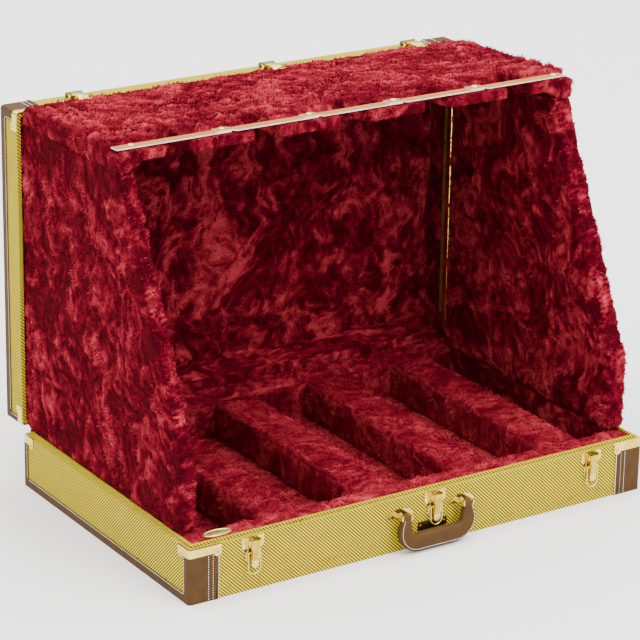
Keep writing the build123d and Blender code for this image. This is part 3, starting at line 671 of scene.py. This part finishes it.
# Each piece's tone is partly painted light: the left panel's lower tone is painted shade on its outer side, and the
# shelf's higher tone is painted light on its top.
plush("left_panel_plush", ["left_panel_cover"], "left_panel", 1, press=panel_press, tone_and_light=0.365)
plush("right_panel_plush", ["right_panel_cover"], "right_panel", 2, press=panel_press, shape=fuller_outside)
plush("shelf_plush", ["shelf_cover", "shelf_board"], "shelf", 3, press=shelf_press, shape=swollen, calm=0.35, tone_and_light=0.53)
plush(
    "lid_lining_plush",
    ["lid_lining"],
    "lid",
    4,
    pile=1.6,
    swing=1.5,
    press=lining_press,
    tone_and_light=0.47,
    source=joined([lining_back, lining_sill, lining_corner]),
)
plush("hinge_batten_plush", ["hinge_battens"], "lid", 5, pile=0.3, swing=0.5)
plush("shelf_rail_plush", ["shelf_rail"], "lid", 6, pile=0.3, swing=0.5)
# The floor, front liner and dividers get higher tones, painted light falling into the base from the front and top.
plush("floor_plush", ["floor_pad"], "base", 7, pile=2.0, press=base_press, calm=1.0, tone_and_light=0.77)
plush("front_liner_plush", ["front_liner"], "base", 8, pile=4.4, press=base_press, calm=1.0, tone_and_light=0.73)
plush(
    "back_liner_plush",
    ["back_liner"],
    "base",
    9,
    pile=1.6,
    swing=1.5,
    source=joined([back_block, back_fold, *back_corners]),
    calm=0.6,
    tone_and_light=0.54,
)
plush("side_liner_plush", ["side_liners"], "base", 10, pile=0.3, swing=0.5)
for number in range(1, 5):
    cushion = f"floor_divider_{number}"
    plush(f"divider_plush_{number}", [cushion], "base", 20 + number, press=base_press, calm=1.0, tone_and_light=0.62)

# ---------------------------------------------------------------- hard pieces in mesh code
HALF_LENGTH = 400.0
TRAY_DEPTH = 492.0
SKIN_T = 1.5
LATCH_XS = (-297.0, 16.0, 304.0)
CATCH_XS = (-297.0, 40.0, 304.0)
HEIGHT = {"base": 84.0, "lid": 48.5}


def in_tray(tray, x, v, h):
    """A point x along the case, v from the far wall and h from the board, in metres."""
    if tray == "base":
        return Vector((x, -246.0 + v, h)) * MM
    return Vector((x, 301.5 - h, 588.5 - v)) * MM


class Build:
    """Collects shapes in millimetres into one mesh."""

    def __init__(self):
        self.verts = []
        self.faces = []

    def add(self, verts, faces):
        start = len(self.verts)
        self.verts += [Vector(v) for v in verts]
        self.faces += [[start + k for k in face] for face in faces]

    def solid(self, outline, place, depth):
        """An outline of (a, b) drawn out by depth; place turns (a, b, c) into a point."""
        n = len(outline)
        low = [place(a, b, 0.0) for a, b in outline]
        high = [place(a, b, depth) for a, b in outline]
        faces = [list(range(n)), [n + k for k in range(n)][::-1]]
        faces += [(k, n + k, n + (k + 1) % n, (k + 1) % n) for k in range(n)]
        self.add(low + high, faces)

    def dome(self, centre, out, radius, height, rings=4, around=16):
        """A rounded head standing on a surface, with out as its direction."""
        out = Vector(out).normalized()
        side = out.orthogonal().normalized()
        other = out.cross(side)
        verts = []
        for ring in range(rings):
            turn = ring / rings * math.pi / 2
            for k in range(around):
                angle = 2 * math.pi * k / around
                reach = (side * math.cos(angle) + other * math.sin(angle)) * radius * math.cos(turn)
                verts.append(Vector(centre) + reach + out * height * math.sin(turn))
        verts.append(Vector(centre) + out * height)
        faces = [list(range(around))[::-1]]
        for ring in range(rings - 1):
            for k in range(around):
                a, b = ring * around + k, ring * around + (k + 1) % around
                faces.append((a, b, b + around, a + around))
        last = (rings - 1) * around
        faces += [(last + k, last + (k + 1) % around, rings * around) for k in range(around)]
        self.add(verts, faces)

    def object(self, name, mat, bevel=0.0, angle=35.0, smooth=True):
        obj = new_object(name, [v * MM for v in self.verts], self.faces)
        bm = bmesh.new()
        bm.from_mesh(obj.data)
        bmesh.ops.recalc_face_normals(bm, faces=bm.faces)
        bm.to_mesh(obj.data)
        bm.free()
        if bevel:
            edge = obj.modifiers.new("edges", "BEVEL")
            edge.width = bevel * MM
            edge.segments = 2
            edge.limit_method = "ANGLE"
            edge.angle_limit = math.radians(angle)
            bare(obj)
        if smooth:
            smooth_by_angle(obj.data, 42.0)
        paint(obj, mat)
        return obj


def smooth_by_angle(mesh, degrees):
    smooth_shade(mesh)
    bm = bmesh.new()
    bm.from_mesh(mesh)
    for edge in bm.edges:
        if len(edge.link_faces) == 2:
            edge.smooth = edge.calc_face_angle(0.0) < math.radians(degrees)
    bm.to_mesh(mesh)
    bm.free()


def settle(obj, body, slot, *nodes):
    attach(obj, body)
    if nodes:
        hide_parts(*nodes)
    return obj


def box_outline(a0, b0, a1, b1):
    return [(a0, b0), (a1, b0), (a1, b1), (a0, b1)]


def rounded(a0, b0, a1, b1, radii, steps=6):
    """A rectangle whose corners, from (a0, b0) anticlockwise, have the given radii."""
    centres = [
        (a0 + radii[0], b0 + radii[0], 180),
        (a1 - radii[1], b0 + radii[1], 270),
        (a1 - radii[2], b1 - radii[2], 0),
        (a0 + radii[3], b1 - radii[3], 90),
    ]
    points = []
    for (a, b, turn), radius in zip(centres, radii):
        for k in range(steps + 1):
            angle = math.radians(turn + 90 * k / steps)
            points.append((a + radius * math.cos(angle), b + radius * math.sin(angle)))
    return points


# ---------------------------------------------------------------- stitching
STITCH = 2.7
STITCH_GAP = 0.9
THREAD_R = 0.42


def sew(build, path, outward):
    """Thread stitches along a path of points, lying on a surface that faces outward."""
    outward = Vector(outward).normalized()
    path = [Vector(p) for p in path]
    lengths = [(b - a).length for a, b in zip(path, path[1:])]
    total = sum(lengths)
    count = int(total / (STITCH + STITCH_GAP))

    def point(distance):
        for start, end, length in zip(path, path[1:], lengths):
            if distance <= length:
                return start.lerp(end, distance / length)
            distance -= length
        return path[-1]

    for k in range(count):
        begin = (k + 0.5) * total / count - STITCH / 2
        a, b = point(begin), point(begin + STITCH)
        along = (b - a).normalized()
        side = along.cross(outward).normalized()
        verts = [a - outward * 0.25]
        for part, swell in ((0.18, 0.85), (0.5, 1.0), (0.82, 0.85)):
            centre = a.lerp(b, part) + outward * 0.12
            for turn in range(6):
                angle = math.pi * turn / 3
                verts.append(centre + (side * math.cos(angle) + outward * math.sin(angle)) * THREAD_R * swell)
        verts.append(b - outward * 0.25)
        faces = [(0, 1 + (t + 1) % 6, 1 + t) for t in range(6)]
        for ring in (1, 7):
            faces += [(ring + t, ring + (t + 1) % 6, ring + 6 + (t + 1) % 6, ring + 6 + t) for t in range(6)]
        faces += [(19, 13 + t, 13 + (t + 1) % 6) for t in range(6)]
        build.add(verts, faces)


# ---------------------------------------------------------------- leather on the trays
for tray in ("base", "lid"):
    top = HEIGHT[tray] - 13.0
    strip_top = HEIGHT[tray] - 17.6
    thread, piping, band = Build(), Build(), Build()
    face_out = (in_tray(tray, 0, -1, 0) - in_tray(tray, 0, 0, 0)) / MM

    def on_far(a, b, c, tray=tray):
        return in_tray(tray, a, -SKIN_T - c, b) / MM

    for side in (-1, 1):
        near = side * (HALF_LENGTH - 47)
        strip = sorted((near + side * 0.6, near + side * 8.2))
        band.solid(rounded(strip[0], 0.2, strip[1], strip_top, (4, 4, 1, 1)), on_far, 1.0)
        line = sorted((near - side * 0.3, near + side * 0.9))
        piping.solid(rounded(line[0], 1.0, line[1], strip_top, (0.5, 0.5, 0.5, 0.5)), on_far, 0.5)
        for x_in in (38.0, 30.5):
            x = side * (HALF_LENGTH - x_in)
            sew(thread, [on_far(x, 2, 0.1), on_far(x, top - 1, 0.1)], face_out)
        x = side * (HALF_LENGTH + SKIN_T)

        def on_side(v, h, tray=tray, x=x):
            return in_tray(tray, x, v, h) / MM

        sew(thread, [on_side(12.4, top - 1), on_side(12.4, 15), on_side(15, 12.6), on_side(479, 12.6)], (side, 0, 0))
        sew(thread, [on_side(483.6, 15), on_side(483.6, top - 1)], (side, 0, 0))
    settle(band.object(f"{tray}_cap_bands", LEATHER, bevel=0.45), tray, "leather")
    settle(piping.object(f"{tray}_cap_piping", THREAD), tray, "leather")
    settle(thread.object(f"{tray}_stitching", THREAD), tray, "leather")

# ---------------------------------------------------------------- corner brackets
LOBE_R = 6.4
LOBE_DROP = 11.0          # from the rim to the middle of a lobe
BAND_H = 12.6


def bracket_height(s, reach_far, reach_side):
    """How far a bracket comes down at s, the distance round the corner from its middle."""
    low = BAND_H
    for end, sign in ((-reach_far, 1), (reach_side, -1)):
        off = s - (end + sign * LOBE_R)
        if abs(off) < LOBE_R:
            low = max(low, LOBE_DROP + math.sqrt(LOBE_R**2 - off**2))
        elif sign * off < 0:
            low = LOBE_DROP
    return low


for tray in ("base", "lid"):
    angles, heads, slots = Build(), Build(), Build()
    rim = HEIGHT[tray] + 0.2
    for side in (-1, 1):
        for v_edge, away in ((0.0, -1), (TRAY_DEPTH, 1)):
            radius = 5.5
            arc = radius * math.pi / 2
            far, along_side = 52.0, 29.0
            rows = []
            steps = [k * 0.8 for k in range(int(-far / 0.8), int(along_side / 0.8) + 1)]
            for s in steps:
                if s < -arc / 2:
                    spot = (side * (HALF_LENGTH + SKIN_T - radius + (s + arc / 2)), v_edge + away * SKIN_T)
                    inward = (0.0, -away)
                elif s > arc / 2:
                    spot = (side * (HALF_LENGTH + SKIN_T), v_edge + away * (SKIN_T - radius - (s - arc / 2)))
                    inward = (-side, 0.0)
                else:
                    turn = (s + arc / 2) / radius
                    centre = (side * (HALF_LENGTH + SKIN_T - radius), v_edge + away * (SKIN_T - radius))
                    spot = (centre[0] + side * radius * math.sin(turn), centre[1] + away * radius * math.cos(turn))
                    inward = (-side * math.sin(turn), -away * math.cos(turn))
                low = bracket_height(s, far, along_side)
                profile = [(0.0, rim - low), (0.0, rim - 1.0), (0.3, rim), (2.6, rim + 0.5)]
                back_profile = [(2.6, rim - 0.4), (1.3, rim - 0.9), (1.3, rim - low)]
                rows.append(
                    [
                        in_tray(tray, spot[0] + inward[0] * (t - 0.25), spot[1] + inward[1] * (t - 0.25), h) / MM
                        for t, h in profile + back_profile
                    ]
                )
            size = len(rows[0])
            verts = [p for row in rows for p in row]
            faces = [list(range(size)), [(len(rows) - 1) * size + k for k in range(size)][::-1]]
            for r in range(len(rows) - 1):
                for k in range(size):
                    a, b = r * size + k, r * size + (k + 1) % size
                    faces.append((a, a + size, b + size, b))
            angles.add(verts, faces)
            head_h = rim - LOBE_DROP
            outward = (in_tray(tray, 0, away, 0) - in_tray(tray, 0, 0, 0)) / MM
            x = side * (HALF_LENGTH + SKIN_T - radius - far + arc / 2 + LOBE_R)
            spot = in_tray(tray, x, v_edge + away * (SKIN_T + 0.2), head_h) / MM
            heads.dome(spot, outward, 3.0, 1.5)
            # A small dark dome on each head paints the shade in its recess.
            slots.dome(spot + outward.normalized() * 1.25, outward, 1.1, 0.4)
            v = v_edge + away * (SKIN_T - radius - along_side + arc / 2 + LOBE_R)
            spot = in_tray(tray, side * (HALF_LENGTH + SKIN_T + 0.2), v, head_h) / MM
            heads.dome(spot, (side, 0, 0), 3.0, 1.5)
            slots.dome(spot + Vector((side * 1.25, 0, 0)), (side, 0, 0), 1.1, 0.4)
    settle(angles.object(f"{tray}_corner_angles", BRASS), tray, "brass", f"{tray}_corner_brackets")
    settle(heads.object(f"{tray}_corner_screws", BRASS), tray, "brass")
    settle(slots.object(f"{tray}_screw_recess_shades", DARK_BRASS), tray, "dark_brass")

# ---------------------------------------------------------------- latch levers
for number, x in enumerate(LATCH_XS, start=1):
    lever, tab, shade_well = Build(), Build(), Build()

    def raised(rise, x=x):
        """Places a across the lever, b up and c outward, starting rise in front of the plate."""
        return lambda a, b, c: Vector((x + a, -248.9 - rise - c, b))

    # A folded head that is open on top, a narrow waist and a rounded finger tab
    lever.solid(box_outline(-7.4, 67.0, -5.6, 80.3), raised(0.0), 7.6)
    lever.solid(box_outline(5.6, 67.0, 7.4, 80.3), raised(0.0), 7.6)
    lever.solid(box_outline(-5.7, 67.0, 5.7, 80.1), raised(6.0), 1.6)
    lever.solid(box_outline(-5.7, 67.0, 5.7, 79.6), raised(0.0), 1.2)
    lever.solid(rounded(-4.9, 49.0, 4.9, 68.0, (1, 1, 2, 2)), raised(1.6), 5.0)
    # The tab takes the paler satin brass, a painted reflection of the bright surroundings on the lever's end.
    tab.solid(rounded(-5.6, 37.2, 5.6, 52.0, (5.4, 5.4, 3, 3)), raised(4.2), 1.9)
    # A dark box fills the open head below its rim: painted shade in the recess.
    shade_well.solid(box_outline(-5.5, 67.5, 5.5, 78.8), raised(1.1), 5.0)
    body = f"latch_lever_{number}"
    settle(lever.object(f"latch_lever_body_{number}", LEVER_BRASS, bevel=0.45), body, "brass", body)
    settle(tab.object(f"latch_lever_tab_{number}", SATIN_BRASS, bevel=0.45), body, "brass")
    settle(shade_well.object(f"latch_lever_shade_well_{number}", DARK_BRASS), body, "dark_brass")

# Dark marks beside each latch: the painted shadow of its spring and wire on the plate.
shade = Build()
for x in LATCH_XS:
    for low, high, half in ((60.0, 69.0, 0.8), (63.5, 65.5, 2.2)):
        shade.solid(
            box_outline(x - 11.5 - half, low, x - 11.5 + half, high),
            lambda a, b, c: Vector((a, -247.5 - c, b)),
            0.35,
        )
settle(shade.object("latch_spring_shadows", DARK_BRASS), "base", "dark_brass")

# ---------------------------------------------------------------- catches on the lid
catch, rolls = Build(), Build()
for x in CATCH_XS:
    plate = rounded(x - 17.5, 254.5, x + 17.5, 282.5, (6, 6, 4, 4))
    catch.solid(plate, lambda a, b, c: Vector((a, b, 588.6 + c)), 1.5)
    lip = [
        (262.0, 590.0),
        (274.5, 590.0),
        (273.0, 597.0),
        (266.0, 603.5),
        (252.0, 605.2),
        (240.0, 604.6),
        (235.0, 602.0),
        (233.2, 599.6),
        (235.2, 599.4),
        (239.5, 601.8),
        (250.0, 602.6),
        (259.0, 600.5),
    ]
    catch.solid(lip, lambda a, b, c, x=x: Vector((x - 8.5 + c, a, b)), 17.0)
    for off in (-11.8, 9.6):
        cheek = [(257, 590), (277, 590), (275, 598), (267, 602.5), (258, 600)]
        catch.solid(cheek, lambda a, b, c, x=x, off=off: Vector((x + off + c, a, b)), 2.2)
    claw = rounded(x + 1.0, 229.5, x + 12.5, 240.0, (5, 2, 1, 3))
    catch.solid(claw, lambda a, b, c: Vector((a, b, 600.4 + c)), 1.6)
    around = 20
    ring = [(math.cos(2 * math.pi * k / around), math.sin(2 * math.pi * k / around)) for k in range(around)]
    rolls.solid(
        [(268.0 + 4.6 * a, 599.6 + 4.6 * b) for a, b in ring],
        lambda a, b, c, x=x: Vector((x - 13.0 + c, a, b)),
        26.0,
    )
    for spot in (-14.2, 14.2):
        rolls.dome((x + spot, 259.5, 590.1), (0, 0, 1), 2.4, 1.6)
settle(catch.object("lid_catch_bodies", BRASS, bevel=0.5), "lid", "brass", "lid_catches")
settle(rolls.object("lid_catch_rolls", DARK_BRASS, bevel=0.6), "lid", "dark_brass", "lid_screws")

# ---------------------------------------------------------------- leather handle
HANDLE_X = 9.0
HANDLE_Y = -263.0


def handle_path():
    """Centre line (x, z), half width and half thickness, from one arm's top to the other's."""
    left = [(-54.5, 65.6, 2.5, 2.5), (-54.5, 64.6, 5.0, 4.8), (-54.5, 62.4, 6.3, 6.0), (-54.5, 58.0, 6.9, 6.2)]
    left += [(-54.6, 54.0, 7.6, 6.3), (-55.0, 49.0, 9.2, 6.5), (-55.7, 43.0, 10.7, 6.9)]
    for k in range(10):
        turn = math.radians(90 * k / 9)
        left.append((-35.0 - 20.6 * math.cos(turn), 38.0 - 20.6 * math.sin(turn), 11.4 + 2 * k / 9, 7.4))
    left += [(x, 17.4, 13.4, 7.5) for x in (-24.0, -12.0, 0.0)]
    return left + [(-x, z, w, t) for x, z, w, t in left[-2::-1]]


def handle_rings():
    """Each ring's centre, its direction away from the loop's middle, and its half sizes."""
    path = handle_path()
    rings = []
    for k, (x, z, wide, thick) in enumerate(path):
        a, b = path[max(k - 1, 0)], path[min(k + 1, len(path) - 1)]
        along = Vector((b[0] - a[0], 0, b[1] - a[1])).normalized()
        outer = Vector((along.z, 0, -along.x))
        rings.append((Vector((HANDLE_X + x, HANDLE_Y, z)), outer, wide, thick))
    return rings


def squircle(angle, power=3.4):
    c, s = math.cos(angle), math.sin(angle)
    return math.copysign(abs(c) ** (2 / power), c), math.copysign(abs(s) ** (2 / power), s)


rings = handle_rings()
leather_loop, handle_thread = Build(), Build()
segments = 28
verts = []
for centre, outer, wide, thick in rings:
    for k in range(segments):
        a, b = squircle(2 * math.pi * k / segments)
        verts.append(centre + outer * a * wide + Vector((0, b * thick, 0)))
faces = [list(range(segments))[::-1], [(len(rings) - 1) * segments + k for k in range(segments)]]
for r in range(len(rings) - 1):
    for k in range(segments):
        a, b = r * segments + k, r * segments + (k + 1) % segments
        faces.append((a, b, b + segments, a + segments))
leather_loop.add(verts, faces)
SEAM = 0.70               # the seam's place between the loop's centre line and its edge
for face in (-1, 1):
    seam = []
    for centre, outer, wide, thick in rings[3:-3]:
        rise = thick * (1 - SEAM**3.4) ** (1 / 3.4)
        seam.append(centre + outer * wide * SEAM + Vector((0, face * (rise + 0.05), 0)))
    sew(handle_thread, seam, (0, face, 0))
settle(leather_loop.object("handle_leather", LEATHER), "handle", "leather", "handle_grip")
settle(handle_thread.object("handle_stitching", THREAD), "handle", "leather")

# ---------------------------------------------------------------- badge and neck strap
badge = Build()
oval = []
for ring, height in ((1.0, 0.0), (1.0, 1.6), (0.93, 2.4), (0.86, 1.7), (0.5, 2.6), (0.15, 2.9)):
    for k in range(40):
        angle = 2 * math.pi * k / 40
        place = (BADGE_X + 23 * ring * math.cos(angle), BADGE_Y + 9.6 * ring * math.sin(angle), 84.3 + height)
        oval.append(Vector(place))
faces = [list(range(40))[::-1], [200 + k for k in range(40)]]
for r in range(5):
    faces += [(r * 40 + k, r * 40 + (k + 1) % 40, r * 40 + 40 + (k + 1) % 40, r * 40 + 40 + k) for k in range(40)]
badge.add(oval, faces)
settle(badge.object("oval_badge", SATIN_BRASS), "base", "brass", "oval_plate")

strap = outer_copy("neck_strap_leather", "neck_strap")
raised_with_shelf(strap)
softer = strap.modifiers.new("edges", "BEVEL")
softer.width = 0.35 * MM
softer.segments = 2
softer.limit_method = "ANGLE"
bare(strap)
paint(strap, STRAP)
strap.data.materials.append(CUT_EDGE)
for polygon in strap.data.polygons:
    polygon.material_index = int(abs(polygon.normal.z) < 0.8)
settle(strap, "shelf", "strap_leather", "neck_strap")
studs = outer_copy("strap_stud_heads", "strap_studs")
raised_with_shelf(studs)
smooth_by_angle(studs.data, 50.0)
paint(studs, SATIN_BRASS)
settle(studs, "shelf", "brass", "strap_studs")

# A strip of the trays' cloth binds each panel's back edge, on the inside, in a darker olive that is painted shade
for side, body in ((-1, "left_panel"), (1, "right_panel")):
    binding = Build()
    binding.solid(
        box_outline(236.5, 140.0, 246.0, 558.0),
        lambda a, b, c, side=side: Vector((side * (365.2 + c), a, b)),
        6.0,
    )
    settle(binding.object(body + "_binding", BINDING_IN_SHADE, bevel=0.5), body, "tweed_ply")

# ---------------------------------------------------------------- carried-over CAD nodes
MATERIAL_OF_SLOT = {
    "tweed_ply": TWEED,
    "plush": PLUSH,
    "core_board": LEATHER,
    "leather": LEATHER,
    "strap_leather": STRAP,
    "brass": BRASS,
    "dark_brass": DARK_BRASS,
}
slot_of = {s["node"]: s["material_slot"] for s in frame["record"]["subparts"]}
for name, obj in frame["nodes"].items():
    if obj.hide_render:
        continue
    paint(obj, MATERIAL_OF_SLOT[slot_of[name]])
    bevel = obj.modifiers.new("worn_edges", "BEVEL")
    bevel.width = 0.9 * MM if slot_of[name] == "tweed_ply" else 0.35 * MM
    bevel.segments = 2
    bevel.limit_method = "ANGLE"
    bevel.angle_limit = math.radians(40)
    bevel.harden_normals = False

# ---------------------------------------------------------------- camera, light and floor
camera_data = bpy.data.cameras.new("camera")
camera_data.lens = 165.1
camera_data.sensor_width = 36.0
camera = bpy.data.objects.new("camera", camera_data)
right = Vector((0.8399, -0.5425, 0.0167))
up = Vector((0.1758, 0.3011, 0.9372))
back = right.cross(up)
camera.matrix_world = Matrix.Translation((-2.2846, -3.4456, 1.8082)) @ Matrix(
    (right, up, back)
).transposed().to_4x4()
bpy.context.scene.collection.objects.link(camera)
bpy.context.scene.camera = camera

# A soft studio sky, brightest overhead
world = bpy.data.worlds.new("studio")
world.use_nodes = True
sky_tree = world.node_tree
sky = sky_tree.nodes["Background"]
sky.inputs["Color"].default_value = (1, 1, 1, 1)
direction = sky_tree.nodes.new("ShaderNodeTexCoord")
split = sky_tree.nodes.new("ShaderNodeSeparateXYZ")
sky_tree.links.new(direction.outputs["Generated"], split.inputs[0])
height = sky_tree.nodes.new("ShaderNodeMapRange")
height.interpolation_type = "SMOOTHSTEP"
height.inputs["From Min"].default_value = 0.15
height.inputs["From Max"].default_value = 0.95
height.inputs["To Min"].default_value = 0.9
height.inputs["To Max"].default_value = 5.6
sky_tree.links.new(split.outputs[2], height.inputs["Value"])
sky_tree.links.new(height.outputs[0], sky.inputs["Strength"])
bpy.context.scene.world = world


def area_light(name, place, target, size, power):
    data = bpy.data.lights.new(name, "AREA")
    data.shape = "SQUARE"
    data.size = size
    data.energy = power
    lamp = bpy.data.objects.new(name, data)
    direction = Vector(target) - Vector(place)
    lamp.matrix_world = Matrix.Translation(place) @ direction.to_track_quat("-Z", "Y").to_matrix().to_4x4()
    bpy.context.scene.collection.objects.link(lamp)


area_light("key", (0.7, -2.6, 2.6), (0, 0, 0.2), 1.1, 75.0)

floor = new_object("studio_floor", [(-60, -60, 0), (60, -60, 0), (60, 60, 0), (-60, 60, 0)], [(0, 1, 2, 3)])
floor_mat, floor_tree, floor_shader = material("studio_floor")
floor_shader.inputs["Base Color"].default_value = (0.76, 0.76, 0.76, 1)
floor_shader.inputs["Roughness"].default_value = 1.0
floor_shader.inputs["Specular IOR Level"].default_value = 0.0
paint(floor, floor_mat)
